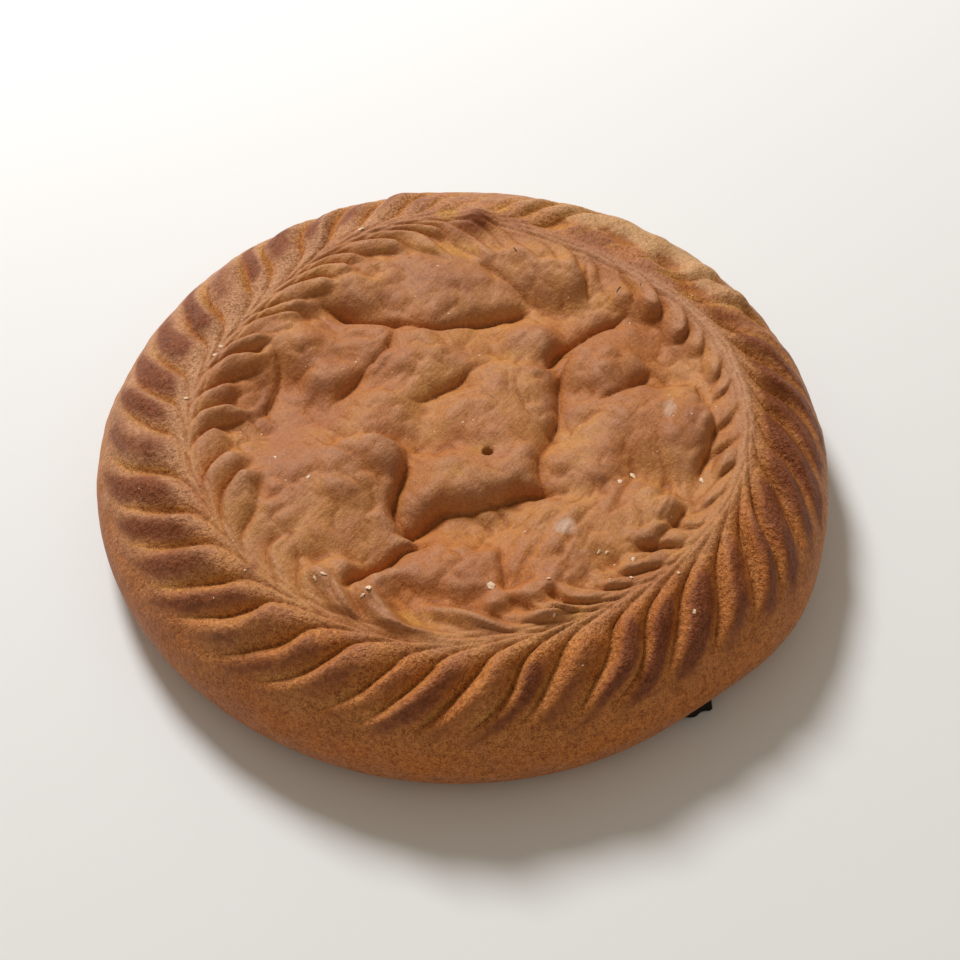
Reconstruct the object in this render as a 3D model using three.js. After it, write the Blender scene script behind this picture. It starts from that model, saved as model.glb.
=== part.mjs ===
// A round savoury pie, baked whole: a pillowy lid inside a raised seam that is crimped into
// slanting pleats outside and tucks inside, a rounded side and a flat underside. One solid.
// Millimetres and degrees. +Z is up, and the origin is the middle of the underside.
// Angles run anticlockwise from +X, seen from above. Pleats are counted clockwise.
import * as THREE from "three";

// ---------- driving dimensions ----------
const OUTLINE_RADIUS = 130;
const WIDEST_HEIGHT = 15; // level at which the side is widest
const FOOT_INSET = 12; // how far the underside pulls in below that level
const SEAM_RADIUS = 95.5;
const SEAM_HEIGHT = 42;
const LID_DROP = 9.5; // depth of the lid's floor below the seam
const PLEAT_HEIGHT = 4.6;
const TUCK_HEIGHT = 3.4;

// Swellings and dips of the outline: where, half width in degrees, and by how much.
const OUTLINE_SWELLS = [
  { at: 52, wide: 14, by: 2.4 },
  { at: 75, wide: 10, by: 1.9 },
  { at: 165, wide: 10, by: -1.5 },
  { at: 262, wide: 20, by: 0.8 },
  { at: 310, wide: 15, by: -1.8 },
  { at: 325, wide: 14, by: 3.4 },
];

// How the seam wanders off its circle: waves around, amplitude, and angle of a crest times waves.
const SEAM_WANDER = [
  { waves: 1, by: 4.0, turn: -68 },
  { waves: 2, by: 1.0, turn: 167 },
  { waves: 3, by: 1.7, turn: -40 },
  { waves: 4, by: 1.6, turn: 19 },
  { waves: 5, by: 0.8, turn: 168 },
];

// A rounded ridge along parts of the seam, and the knob at the back where the crimping ended.
const ROPE_HEIGHT = 1.8;
const ROPE_WIDE = 3.2;
const ROPE_CALM = 4; // reach of the crimp's weakening beside the ridge
const ROPE_PLACES = [
  { at: 20, wide: 48, by: 1.0 },
  { at: 325, wide: 30, by: 0.6 },
  { at: 110, wide: 25, by: 0.5 },
];
const KNOB = { x: 6, y: 95, wide: 6, high: 3.6 };

// The crimp: pleats by number, and the angle at which a few of them cross the pleat line.
const PLEATS = 45;
const PLEAT_MARKS = [
  { pleat: 0, at: 5.5 },
  { pleat: 8, at: -58.2 },
  { pleat: 16, at: -118.6 },
  { pleat: 23, at: -182 },
  { pleat: 32, at: -257.6 },
  { pleat: 38, at: -299 },
  { pleat: 45, at: -354.5 },
];
const PLEAT_JITTER = 1.4; // degrees either way
const PLEAT_SWAY = 1.9; // degrees by which the creases waver
const PLEAT_LINE = 10; // distance outside the seam at which the marks are taken
const PLEAT_FADE = [13, 31]; // distance from the seam where a pleat starts and ends its fade
const PLEAT_CREST = 0.66; // place of the crest across a pleat

// A pleat leaves the seam along it, then swings outwards: degrees of lag by distance.
const PLEAT_RUN = 10; // degrees that a crease runs along the seam
const PLEAT_RUN_REACH = 2.2; // distance in which it does so
const PLEAT_LONG_RUNS = [
  { at: 322, wide: 22, by: 3 },
  { at: 55, wide: 30, by: 2 },
];
const PLEAT_LAG = 0.15; // degrees for each millimetre
const PLEAT_BEND = 0.009; // and for each square millimetre
const PLEAT_LONG_LAGS = [{ at: 318, wide: 28, by: 1 }]; // where they slant more and bend less
const LONG_LAG = 0.3;
const LONG_BEND = -0.008;
const SOFT_PLEATS = [
  { at: 53, wide: 22, by: 0.9 },
  { at: 89, wide: 12, by: 0.75 },
  { at: 160, wide: 18, by: 0.1 },
  { at: 350, wide: 22, by: -0.3 },
];

// Lumps and hollows outside the seam, where the crimp is weak: middle, half lengths, turn, height.
const SIDE_LUMPS = [
  { x: 60, y: 95, rx: 10, ry: 6, turn: -35, high: 2.6 },
  { x: 75, y: 84, rx: 6, ry: 5, turn: -45, high: 2.0 },
  { x: 89, y: 69, rx: 8, ry: 5, turn: -50, high: 2.8 },
  { x: 99, y: 53, rx: 7, ry: 5, turn: -60, high: 2.4 },
  { x: 109, y: 34, rx: 8, ry: 5, turn: -70, high: 1.8 },
  { x: 42, y: 99, rx: 8, ry: 5, turn: -15, high: 1.8 },
  { x: 24, y: 106, rx: 9, ry: 5, turn: -10, high: 1.4 },
  { x: 52, y: 84, rx: 12, ry: 3.5, turn: -28, high: 1.6 },
  { x: 70, y: 67, rx: 9, ry: 3, turn: -42, high: 1.4 },
  { x: 77, y: 73, rx: 6, ry: 4, turn: -40, high: -3.2 },
  { x: 86, y: 56, rx: 6, ry: 4, turn: -40, high: -3.4 },
  { x: 97, y: 40, rx: 6, ry: 4, turn: -50, high: -2.8 },
  { x: 36, y: 93, rx: 8, ry: 4, turn: -5, high: -2.6 },
  { x: 60, y: 84, rx: 6, ry: 3.5, turn: -30, high: -2.2 },
  { x: -12, y: 104, rx: 12, ry: 6, turn: 0, high: 1.2 },
  { x: -34, y: 103, rx: 8, ry: 5, turn: 10, high: -1.0 },
];
const SIDE_DENTS = { size: 11, by: 0.9 };

// Inside the seam the pleats end as tucks of unequal reach.
const TUCK_SWAY = 4.5;
const TUCK_LINE = 15;
const TUCK_CREST = 0.78;
const TUCK_RUN = 12;
const TUCK_RUN_REACH = 3.2;
const TUCK_LAG = 0.8;
const TUCK_SHORT = [
  { at: 195, wide: 40, by: 0.62 },
  { at: 240, wide: 20, by: 0.35 },
  { at: 20, wide: 45, by: 0.5 },
  { at: 318, wide: 26, by: 0.4 },
];
const TUCK_REACH = 17; // mean length of a tuck
const TUCK_REACHES = [
  { at: 318, wide: 26, by: -3.5 },
  { at: 20, wide: 40, by: -4.0 },
  { at: 270, wide: 18, by: -3.0 },
  { at: 170, wide: 45, by: -2.5 },
];
const SOFT_TUCKS = [
  { at: 70, wide: 20, by: 0.85 },
  { at: 264, wide: 25, by: 0.85 },
  { at: 22, wide: 22, by: -0.4 },
  { at: 125, wide: 32, by: 0.25 },
  { at: 190, wide: 30, by: -0.2 },
];

// Knots of dough at the front, just inside the seam: middle, half lengths, turn and height.
const KNOTS = [
  { x: -40, y: -82, rx: 11, ry: 3, turn: -59, high: 4.6 },
  { x: -26, y: -88, rx: 10, ry: 3, turn: -51, high: 5.0 },
  { x: -13, y: -98, rx: 8, ry: 2.6, turn: -21, high: 3.0 },
  { x: -25, y: -73, rx: 5, ry: 4.5, turn: 0, high: 4.0 },
  { x: 0, y: -90, rx: 10, ry: 2.6, turn: -22, high: 4.2 },
  { x: 11, y: -83, rx: 5.5, ry: 3.4, turn: 40, high: 4.6 },
  { x: 22, y: -80, rx: 6, ry: 3.4, turn: 15, high: 4.4 },
  { x: 27, y: -90, rx: 6, ry: 2.6, turn: 5, high: 4.0 },
];

// Broad swells of the lid over what lies under it: middle, half lengths, turn and height.
const SWELLS = [
  { x: -8, y: 64, rx: 28, ry: 15, turn: 0, high: 7.0 },
  { x: -40, y: 56, rx: 12, ry: 7, turn: 0, high: 6.0 },
  { x: -62, y: 50, rx: 9, ry: 7, turn: 20, high: 4.5 },
  { x: -55, y: 30, rx: 15, ry: 12, turn: 20, high: 6.5 },
  { x: -36, y: 36, rx: 10, ry: 10, turn: 40, high: 5.5 },
  { x: -47, y: 15, rx: 10, ry: 7, turn: 30, high: 5.0 },
  { x: -16, y: 25, rx: 21, ry: 18, turn: 35, high: 7.5 },
  { x: -30, y: -2, rx: 14, ry: 12, turn: 30, high: 6.5 },
  { x: 16, y: 12, rx: 14, ry: 14, turn: 0, high: 7.0 },
  { x: 24, y: 33, rx: 10, ry: 10, turn: 20, high: 7.5 },
  { x: 6, y: -5, rx: 20, ry: 13, turn: 0, high: 6.5 },
  { x: 0, y: -32, rx: 20, ry: 13, turn: 8, high: 7.5 },
  { x: 20, y: -24, rx: 9, ry: 12, turn: 0, high: 5.0 },
  { x: 51, y: 21, rx: 14, ry: 15, turn: 0, high: 9.0 },
  { x: 62, y: -8, rx: 22, ry: 17, turn: -15, high: 9.0 },
  { x: 42, y: -24, rx: 13, ry: 14, turn: 0, high: 7.0 },
  { x: 34, y: -58, rx: 27, ry: 15, turn: 30, high: 8.0 },
  { x: 60, y: -44, rx: 12, ry: 14, turn: 30, high: 6.0 },
  { x: -4, y: -69, rx: 17, ry: 13, turn: 0, high: 7.5 },
  { x: -50, y: -36, rx: 22, ry: 22, turn: -10, high: 9.5 },
  { x: -31, y: -24, rx: 12, ry: 10, turn: 0, high: 9.0 },
  { x: -43, y: -74, rx: 7, ry: 8, turn: -20, high: 4.5 },
  { x: -28, y: -79, rx: 8, ry: 6, turn: 20, high: 4.0 },
  { x: 49, y: -78, rx: 10, ry: 7, turn: 0, high: 5.5 },
  { x: 34, y: 64, rx: 15, ry: 9, turn: -35, high: 6.0 },
  { x: 26, y: 77, rx: 12, ry: 6, turn: 10, high: 4.5 },
  { x: 58, y: 50, rx: 9, ry: 7, turn: -40, high: 3.0 },
];
const SWELL_EDGE = 1.4; // higher is flatter on top, with steeper edges
const SWELL_MEETING = 2.6; // how sharply two swells meet
const LID_RELIEF = 1.2;

// Folded edges of the lid, the high side to the left of the way: from, to, bow, drop, how soon the
// high side is reached, how far it carries back, and the lip on the low side.
const LEDGES = [
  { from: [-50, 49.5], to: [-10, 42], bow: -2, drop: 4.4, steep: 3.4, back: 12, lip: 0.9 },
  { from: [-12, 42], to: [21, 49], bow: -1.5, drop: 4.4, steep: 3.4, back: 12, lip: 0.9 },
  { from: [-44, 4], to: [-27, 37], bow: -3, drop: 3.0, steep: 3.5, back: 9, lip: 0.3 },
  { from: [-19, 4], to: [9, 23], bow: -4, drop: 2.4, steep: 3.0, back: 8, lip: 0.4 },
  { from: [28, -34], to: [37, 19], bow: 2, drop: 4.2, steep: 6.0, back: 10, lip: 0.5 },
  { from: [29, 21], to: [57, 44], bow: 2.5, drop: 4.8, steep: 4.2, back: 9, lip: 0.8 },
  { from: [48, 2], to: [66, 18], bow: -3, drop: 2.6, steep: 3.0, back: 9, lip: 0.5 },
  { from: [-19, -52], to: [30, -38], bow: 1.5, drop: 4.8, steep: 4.2, back: 10, lip: 0.9 },
  { from: [-20, -44], to: [-20, -18], bow: 0, drop: 6.0, steep: 2.2, back: 10, lip: 0.3 },
  { from: [-37, -79], to: [-12, -57], bow: 3, drop: 6.5, steep: 6.5, back: 12, lip: 0.5 },
  { from: [-12, -57], to: [-21, -42], bow: 1, drop: 4.5, steep: 5.0, back: 9, lip: 0.8 },
  { from: [-36, -29], to: [-52, -13], bow: -1.5, drop: 1.8, steep: 1.6, back: 8, lip: 0.4 },
  { from: [82, -30], to: [82, 8], bow: -2, drop: 5.0, steep: 3.5, back: 9, lip: 0.3 },
  { from: [50, -47], to: [55, -33], bow: 0.5, drop: 1.5, steep: 1.2, back: 5, lip: 0.3 },
  { from: [11, -80], to: [12, -60], bow: 0, drop: 3.0, steep: 3.5, back: 9, lip: 0.4 },
  { from: [54, -70], to: [73, -48], bow: 0, drop: 4.4, steep: 4.5, back: 9, lip: 0.4 },
  { from: [6, 72], to: [24, 55], bow: 1, drop: 2.0, steep: 2.2, back: 7, lip: 0.4 },
  { from: [48, 54], to: [46, 76], bow: 1, drop: 3.0, steep: 2.4, back: 7, lip: 0.4 },
  { from: [-72, 0], to: [-67, 27], bow: -2.5, drop: 2.4, steep: 2.0, back: 6, lip: 0.3 },
];
const LEDGE_SINK = 0.55; // depth of the crease at a folded edge, as a share of its drop
const LEDGE_FRONT = 5;
const LEDGE_STEEP = 0.75;

// Chance bumps of the lid that meet in creases.
const CRUMPLES = [
  { size: 17, by: 1.6 },
  { size: 9, by: 1.0 },
];

// The hole in the lid, with the net drawn in around it.
const VENT = { x: 8.7, y: -21, wide: 2.2, tall: 1.6, turn: 15, deep: 5, draw: 0.7, around: 8 };

// Filling that leaked out at the foot and burnt.
const LEAK = { at: 308.6, wide: 2.4, low: 1.5, high: 5, by: 5 };

// ---------- the net of corners ----------
const COLUMNS_IN_PLEAT = 5;
const SIDE_COLUMNS = 90;
const PLEAT_ROWS = [1.3, 3, 5.5, 8.5, 12, 16, 21, 27]; // distances outside the seam
const SIDE_STEPS = [0.74, 0.87, 1]; // shares of the quarter round from the seam to the widest level
const FOOT_STEPS = [0.3, 0.55, 0.78, 1];
const TUCK_ROWS = [1.3, 3, 5.5, 8.5, 12, 16, 20]; // distances inside the seam
const LID_RINGS = 20;

// ---------- small helpers ----------
const RADIANS = Math.PI / 180;

function sum(list, term) {
  return list.reduce((total, entry) => total + term(entry), 0);
}

function wrap(number, count) {
  return ((number % count) + count) % count;
}

function smooth(value, start, end) {
  const share = Math.min(Math.max((value - start) / (end - start), 0), 1);
  return share * share * (3 - 2 * share);
}

function bell(distance, halfWidth) {
  return Math.exp(-((distance / halfWidth) ** 2));
}

function turnBetween(angle, other) {
  return wrap(angle - other + 180, 360) - 180;
}

function swells(angle, list) {
  return sum(list, ({ at, wide, by }) => by * bell(turnBetween(angle, at), wide));
}

function chance(number, kind) {
  const wave = Math.sin(number * 12.9898 + kind * 78.233) * 43758.5453;
  return wave - Math.floor(wave);
}

// Smooth chance heights between -0.5 and 0.5, on a grid of unit squares.
function dents(across, up, kind) {
  const column = Math.floor(across);
  const row = Math.floor(up);
  const ease = (part) => part ** 3 * (part * (6 * part - 15) + 10);
  const u = ease(across - column);
  const v = ease(up - row);
  const corner = (right, above) => chance(column + right + 57 * (row + above), kind);
  const low = corner(0, 0) * (1 - u) + corner(1, 0) * u;
  const high = corner(0, 1) * (1 - u) + corner(1, 1) * u;
  return low * (1 - v) + high * v - 0.5;
}

function turned(x, y, turn) {
  const cos = Math.cos(turn * RADIANS);
  const sin = Math.sin(turn * RADIANS);
  return [x * cos + y * sin, y * cos - x * sin];
}

function polar(angle, radius) {
  return [radius * Math.cos(angle * RADIANS), radius * Math.sin(angle * RADIANS)];
}

// ---------- the plan ----------
function outlineRadius(angle) {
  return OUTLINE_RADIUS + swells(angle, OUTLINE_SWELLS);
}

function seamRadius(angle) {
  const offset = ({ waves, by, turn }) => by * Math.cos((waves * angle - turn) * RADIANS);
  return SEAM_RADIUS + sum(SEAM_WANDER, offset);
}

// ---------- the crimp ----------
function creaseAngle(number) {
  const turns = Math.floor(number / PLEATS);
  const inTurn = number - turns * PLEATS;
  const after = PLEAT_MARKS.find((mark) => mark.pleat > inTurn);
  const before = PLEAT_MARKS[PLEAT_MARKS.indexOf(after) - 1];
  const share = (inTurn - before.pleat) / (after.pleat - before.pleat);
  const jitter = PLEAT_JITTER * (2 * chance(inTurn, 1) - 1);
  return before.at + share * (after.at - before.at) + jitter - 360 * turns;
}

// The angle of a place in the row of pleats, such as 3.4 for two fifths of the way across pleat 3.
function pleatAngle(place) {
  const pleat = Math.floor(place);
  const share = place - pleat;
  return creaseAngle(pleat) * (1 - share) + creaseAngle(pleat + 1) * share;
}

// The pleat's number and the share of the way across it.
function pleatPlace(angle) {
  let pleat = Math.floor((-angle / 360) * PLEATS);
  while (creaseAngle(pleat) < angle) pleat -= 1;
  while (creaseAngle(pleat + 1) >= angle) pleat += 1;
  const start = creaseAngle(pleat);
  return { pleat: wrap(pleat, PLEATS), share: (start - angle) / (start - creaseAngle(pleat + 1)) };
}

// How far a crease has turned at a distance, and how far it wavers there.
function pleatTurn(angle, away) {
  const run = PLEAT_RUN + swells(angle, PLEAT_LONG_RUNS);
  const reach = PLEAT_RUN_REACH + 0.12 * (run - PLEAT_RUN);
  const long = swells(angle, PLEAT_LONG_LAGS);
  const lag = PLEAT_LAG + LONG_LAG * long;
  const bend = PLEAT_BEND + LONG_BEND * long;
  const total = (distance) =>
    run * (1 - Math.exp(-distance / reach)) + lag * distance + bend * distance ** 2;
  const [x, y] = polar(angle, seamRadius(angle) + away);
  const sway = PLEAT_SWAY * dents(x / 17, y / 17, 3) * smooth(away, 2, 9);
  return total(away) - total(PLEAT_LINE) + sway;
}

function tuckTurn(angle, inside) {
  const [x, y] = polar(angle, seamRadius(angle) - inside);
  const swayed = angle + TUCK_SWAY * dents(x / 13, y / 13, 4) * smooth(inside, 0, 8);
  const total = (distance) =>
    TUCK_RUN * (1 - Math.exp(-distance / TUCK_RUN_REACH)) + TUCK_LAG * distance;
  const share = 1 - swells(swayed, TUCK_SHORT);
  return swayed - angle + share * (total(inside) - total(TUCK_LINE));
}

// The angle of a column of corners at a distance from the seam, found by a few corrections.
function columnAngle(place, away, turnOf) {
  const start = pleatAngle(place);
  let angle = start;
  for (let pass = 0; pass < 24; pass += 1) {
    angle = 0.5 * angle + 0.5 * (start - turnOf(angle, away));
  }
  return angle;
}

// A plump lump between two creases, from 0 at the creases to 1 at its crest.
function lump(share, crest, power) {
  const half = share < crest ? (0.5 * share) / crest : 0.5 + (0.5 * (share - crest)) / (1 - crest);
  return Math.sin(Math.PI * Math.min(Math.max(half, 0), 1)) ** power;
}

// The share of the crimp that is left beside the ridge along the seam.
function calm(angle, away) {
  return 1 - 0.8 * Math.min(Math.max(swells(angle, ROPE_PLACES), 0), 1) * bell(away, ROPE_CALM);
}

function pleatRelief(angle, away) {
  const { pleat, share } = pleatPlace(angle + pleatTurn(angle, away));
  const strength = (1 - swells(angle, SOFT_PLEATS)) * calm(angle, away);
  const rise = 0.22 + 0.78 * smooth(away, 0.5, 10);
  const power = 0.65 + 0.25 * smooth(away, 2, 9);
  const crest = PLEAT_CREST + 0.2 * (chance(pleat, 9) - 0.5);
  const plump = lump(share, crest, power) * (0.62 + 0.7 * chance(pleat, 2));
  const [start, end] = PLEAT_FADE;
  const fade = 1 - smooth(away, start + 10 * chance(pleat, 3) - 5, end);
  const level = 0.55 * (1 - smooth(away, start, end));
  return PLEAT_HEIGHT * strength * rise * (plump * fade - level);
}

function tuckRelief(angle, inside) {
  const { pleat: tuck, share } = pleatPlace(angle + tuckTurn(angle, inside));
  const strength = (1 - swells(angle, SOFT_TUCKS)) * calm(angle, inside);
  const rise = 0.2 + 0.8 * smooth(inside, 0, 7);
  const tip = (0.6 + 0.7 * chance(tuck, 4)) * (0.72 + 0.36 * Math.sin(Math.PI * share) ** 0.7);
  const reach = (TUCK_REACH + swells(angle, TUCK_REACHES)) * tip;
  const end = 1 - smooth(inside / reach, 0.7, 1.08);
  const plump = lump(share, TUCK_CREST, 0.72) * end * (0.5 + chance(tuck, 5));
  const level = 0.35 * (1 - smooth(inside, 12, 24));
  return TUCK_HEIGHT * strength * rise * (plump - level);
}

function rope(angle, away) {
  return ROPE_HEIGHT * swells(angle, ROPE_PLACES) * bell(away, ROPE_WIDE);
}

function knob(x, y) {
  return KNOB.high * bell(Math.hypot(x - KNOB.x, y - KNOB.y), KNOB.wide);
}

// ---------- the lid ----------
function swell(x, y, { x: middleX, y: middleY, rx, ry, turn, high }) {
  const [along, across] = turned(x - middleX, y - middleY, turn);
  const far = (along / rx) ** 2 + (across / ry) ** 2;
  return high * Math.exp(-0.7 * far ** SWELL_EDGE);
}

function ledge(x, y, { from, to, bow, drop, steep, back, lip }) {
  const length = Math.hypot(to[0] - from[0], to[1] - from[1]);
  const turn = Math.atan2(to[1] - from[1], to[0] - from[0]) / RADIANS;
  const [along, off] = turned(x - from[0], y - from[1], turn);
  const share = along / length;
  const side = off - 4 * bow * share * (1 - share);
  const inside = smooth(share, -0.15, 0.15) * (1 - smooth(share, 0.85, 1.15));
  const up = Math.max(side, 0);
  const down = Math.max(-side, 0);
  const high = drop * (1 - Math.exp(-up / (LEDGE_STEEP * steep))) * Math.exp(-up / back);
  const low = lip * (1 - Math.exp(-down / 1.2)) * Math.exp(-down / LEDGE_FRONT);
  return inside * (high + low - LEDGE_SINK * drop * Math.exp(-Math.abs(side) / 3));
}

// Slow waves that keep the swells from being neat ovals.
function drift(x, y, kind) {
  const wave = (length, turn) =>
    Math.sin(((x * Math.cos(turn) + y * Math.sin(turn)) * 2 * Math.PI) / length + 2.1 * kind + turn);
  return 1.4 * wave(47, 0.4 + kind) + 0.9 * wave(29, 2.0 + kind) + 0.5 * wave(17, 3.3 + kind);
}

function crumple(x, y) {
  return sum(CRUMPLES, ({ size, by }) => {
    const [across, up] = turned(x, y, 7 * size);
    return by * (Math.hypot(2 * dents(across / size, up / size, size), 0.08) - 0.3);
  });
}

function lidRelief(x, y) {
  const px = x + drift(x, y, 0);
  const py = y + drift(x, y, 1);
  const powers = sum(SWELLS, (one) => swell(px, py, one) ** SWELL_MEETING);
  const folded = sum(LEDGES, (one) => ledge(px, py, one));
  return LID_RELIEF * (powers ** (1 / SWELL_MEETING) + folded) + crumple(x, y);
}

function ventShare(x, y) {
  const [across, tall] = turned(x - VENT.x, y - VENT.y, VENT.turn);
  return 1 - smooth(Math.hypot(across / VENT.wide, tall / VENT.tall), 0.6, 1.35);
}

// A place drawn in towards the vent, so that the net is fine around it.
function drawn([x, y]) {
  const dx = x - VENT.x;
  const dy = y - VENT.y;
  const share = 1 - VENT.draw * bell(Math.hypot(dx, dy), VENT.around);
  return [VENT.x + dx * share, VENT.y + dy * share];
}

// ---------- corners ----------
function topCorner(angle, inside) {
  const [x, y] = drawn(polar(angle, seamRadius(angle) - inside));
  const floor = SEAM_HEIGHT - LID_DROP * smooth(inside, 1, 30) + rope(angle, inside) + knob(x, y);
  const knots = sum(KNOTS, (one) => swell(x, y, one)) * smooth(inside, 1, 5);
  const lid = lidRelief(x, y) * smooth(inside, 3, 16) - VENT.deep * ventShare(x, y);
  return [x, y, floor + lid + knots + tuckRelief(angle, inside)];
}

// Outside the seam: a quarter round down to the widest level, pushed out by the pleats.
function quarterLength(angle) {
  const across = outlineRadius(angle) - seamRadius(angle);
  return (Math.PI / 4) * (across + SEAM_HEIGHT - WIDEST_HEIGHT);
}

function sideRelief(angle, away) {
  const seam = seamRadius(angle);
  const [x, y] = polar(angle, seam + away);
  const dented = SIDE_DENTS.by * dents(x / SIDE_DENTS.size, y / SIDE_DENTS.size, SIDE_DENTS.size);
  const lumps = sum(SIDE_LUMPS, (one) => swell(x, y, one));
  const skin = dented * smooth(away, 2, 8) + lumps;
  const shown = 1 - smooth(away / quarterLength(angle), 0.75, 1);
  const knobHere = knob(...polar(angle, seam)) * bell(away, KNOB.wide);
  return pleatRelief(angle, away) + rope(angle, away) + knobHere + skin * shown;
}

function sideCorner(angle, away) {
  const seam = seamRadius(angle);
  const across = outlineRadius(angle) - seam;
  const high = SEAM_HEIGHT - WIDEST_HEIGHT;
  const turn = (away / quarterLength(angle)) * (Math.PI / 2);
  const slope = Math.hypot(high * Math.sin(turn), across * Math.cos(turn));
  const relief = sideRelief(angle, away);
  const radius = seam + across * Math.sin(turn) + (relief * high * Math.sin(turn)) / slope;
  const z = WIDEST_HEIGHT + high * Math.cos(turn) + (relief * across * Math.cos(turn)) / slope;
  return [...polar(angle, radius), z];
}

function leakAt(angle, z) {
  const within = smooth(z, LEAK.low - 1, LEAK.low + 1) * (1 - smooth(z, LEAK.high - 1, LEAK.high + 2));
  return LEAK.by * bell(turnBetween(angle, LEAK.at), LEAK.wide) * within;
}

function footCorner(angle, share) {
  const turn = (share * Math.PI) / 2;
  const z = WIDEST_HEIGHT * (1 - Math.sin(turn));
  const radius = outlineRadius(angle) - FOOT_INSET * (1 - Math.cos(turn)) + leakAt(angle, z);
  return [...polar(angle, radius), z];
}

// ---------- the net ----------
function ring(count, cornerAt) {
  return Array.from({ length: count }, (_, column) => cornerAt((column / count) * PLEATS));
}

function pieRings() {
  const crimpColumns = PLEATS * COLUMNS_IN_PLEAT;
  const lastTuck = TUCK_ROWS[TUCK_ROWS.length - 1];
  const lastPleat = PLEAT_ROWS[PLEAT_ROWS.length - 1];
  const rings = [];
  for (let number = 1; number < LID_RINGS; number += 1) {
    const share = number / LID_RINGS;
    rings.push(ring(6 * number, (place) => {
      const angle = columnAngle(place, lastTuck, tuckTurn);
      return topCorner(angle, seamRadius(angle) - share * (seamRadius(angle) - lastTuck));
    }));
  }
  for (const inside of [...TUCK_ROWS].reverse()) {
    rings.push(ring(crimpColumns, (place) => topCorner(columnAngle(place, inside, tuckTurn), inside)));
  }
  for (const away of [0, ...PLEAT_ROWS]) {
    rings.push(ring(crimpColumns, (place) => sideCorner(columnAngle(place, away, pleatTurn), away)));
  }
  for (const share of SIDE_STEPS) {
    rings.push(ring(SIDE_COLUMNS, (place) => {
      const angle = columnAngle(place, lastPleat, pleatTurn);
      return sideCorner(angle, share * quarterLength(angle));
    }));
  }
  for (const share of FOOT_STEPS) {
    rings.push(ring(SIDE_COLUMNS, (place) => footCorner(columnAngle(place, lastPleat, pleatTurn), share)));
  }
  return rings;
}

// Triangles between two rings, the inner one's corners nearer the lid's middle.
function stitch(inner, outer, triangles) {
  let a = 0;
  let b = 0;
  while (a < inner.count || b < outer.count) {
    const innerNow = inner.start + (a % inner.count);
    const outerNow = outer.start + (b % outer.count);
    if ((a + 1) / inner.count <= (b + 1) / outer.count && a < inner.count) {
      triangles.push(innerNow, inner.start + ((a + 1) % inner.count), outerNow);
      a += 1;
    } else {
      triangles.push(innerNow, outer.start + ((b + 1) % outer.count), outerNow);
      b += 1;
    }
  }
}

function pieGeometry() {
  const rings = pieRings();
  const centre = topCorner(0, seamRadius(0));
  const corners = [centre];
  const triangles = [];
  const spans = rings.map((points) => {
    const span = { start: corners.length, count: points.length };
    corners.push(...points);
    return span;
  });
  stitch({ start: 0, count: 1 }, spans[0], triangles);
  for (let number = 1; number < spans.length; number += 1) {
    stitch(spans[number - 1], spans[number], triangles);
  }
  const foot = spans[spans.length - 1];
  const footMiddle = corners.length;
  corners.push([0, 0, 0]);
  for (let column = 0; column < foot.count; column += 1) {
    triangles.push(foot.start + column, foot.start + ((column + 1) % foot.count), footMiddle);
  }
  const geometry = new THREE.BufferGeometry();
  geometry.setAttribute("position", new THREE.Float32BufferAttribute(corners.flat(), 3));
  geometry.setIndex(triangles);
  geometry.computeBoundingBox();
  const middle = geometry.boundingBox.getCenter(new THREE.Vector3());
  geometry.translate(-middle.x, -middle.y, 0);
  geometry.computeVertexNormals();
  return geometry;
}

const crust = new THREE.MeshStandardMaterial({ color: 0xb5703f, roughness: 0.62, metalness: 0 });
const pie = new THREE.Mesh(pieGeometry(), crust);
pie.name = "pie";

const model = new THREE.Group();
model.add(pie);

export default model;
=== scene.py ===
"""A round savoury pie, baked whole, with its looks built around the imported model's frame.

Shapes are worked out in millimetres and degrees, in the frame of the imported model, and turned into
metres where a mesh is made. Angles run anticlockwise from +X, seen from above.
"""

import math

import bpy
import numpy as np
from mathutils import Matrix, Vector
from mathutils.bvhtree import BVHTree


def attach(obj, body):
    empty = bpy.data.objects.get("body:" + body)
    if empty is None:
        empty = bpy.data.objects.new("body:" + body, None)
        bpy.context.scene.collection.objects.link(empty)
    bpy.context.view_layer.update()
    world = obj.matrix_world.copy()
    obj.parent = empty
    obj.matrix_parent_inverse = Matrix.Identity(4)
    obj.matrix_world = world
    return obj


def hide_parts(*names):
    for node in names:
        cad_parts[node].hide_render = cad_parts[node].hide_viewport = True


bl_info = {
    "name": "Crimped Pie",
    "version": (1, 0, 0),
    "blender": (4, 5, 0),
    "location": "3D View > Sidebar > Pie",
    "description": "Builds a crimped pie with a browned crust, its flecks and a plain stage",
    "category": "Object",
}

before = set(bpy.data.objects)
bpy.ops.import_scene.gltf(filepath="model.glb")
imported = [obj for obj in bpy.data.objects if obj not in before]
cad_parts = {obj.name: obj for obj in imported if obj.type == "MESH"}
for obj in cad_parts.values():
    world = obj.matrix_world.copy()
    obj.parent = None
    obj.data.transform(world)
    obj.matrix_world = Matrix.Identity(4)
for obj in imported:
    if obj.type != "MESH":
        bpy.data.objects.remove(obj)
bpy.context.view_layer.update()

MM = 0.001

# ---------------------------------------------------------------- the shape's sizes, in millimetres

WIDEST_HEIGHT = 15.0
FOOT_INSET = 12.0

# Swellings and dips of the outline: where, half width in degrees, and by how much.
OUTLINE_SWELLS = (
    (52, 14, 2.4),
    (75, 10, 1.9),
    (165, 10, -1.5),
    (262, 20, 0.8),
    (310, 15, -1.8),
    (325, 14, 3.4),
)

# How the seam wanders off its circle: waves around, amplitude, angle of a crest times waves.
SEAM_WANDER = ((1, 4.0, -68), (2, 1.0, 167), (3, 1.7, -40), (4, 1.6, 19), (5, 0.8, 168))

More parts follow.
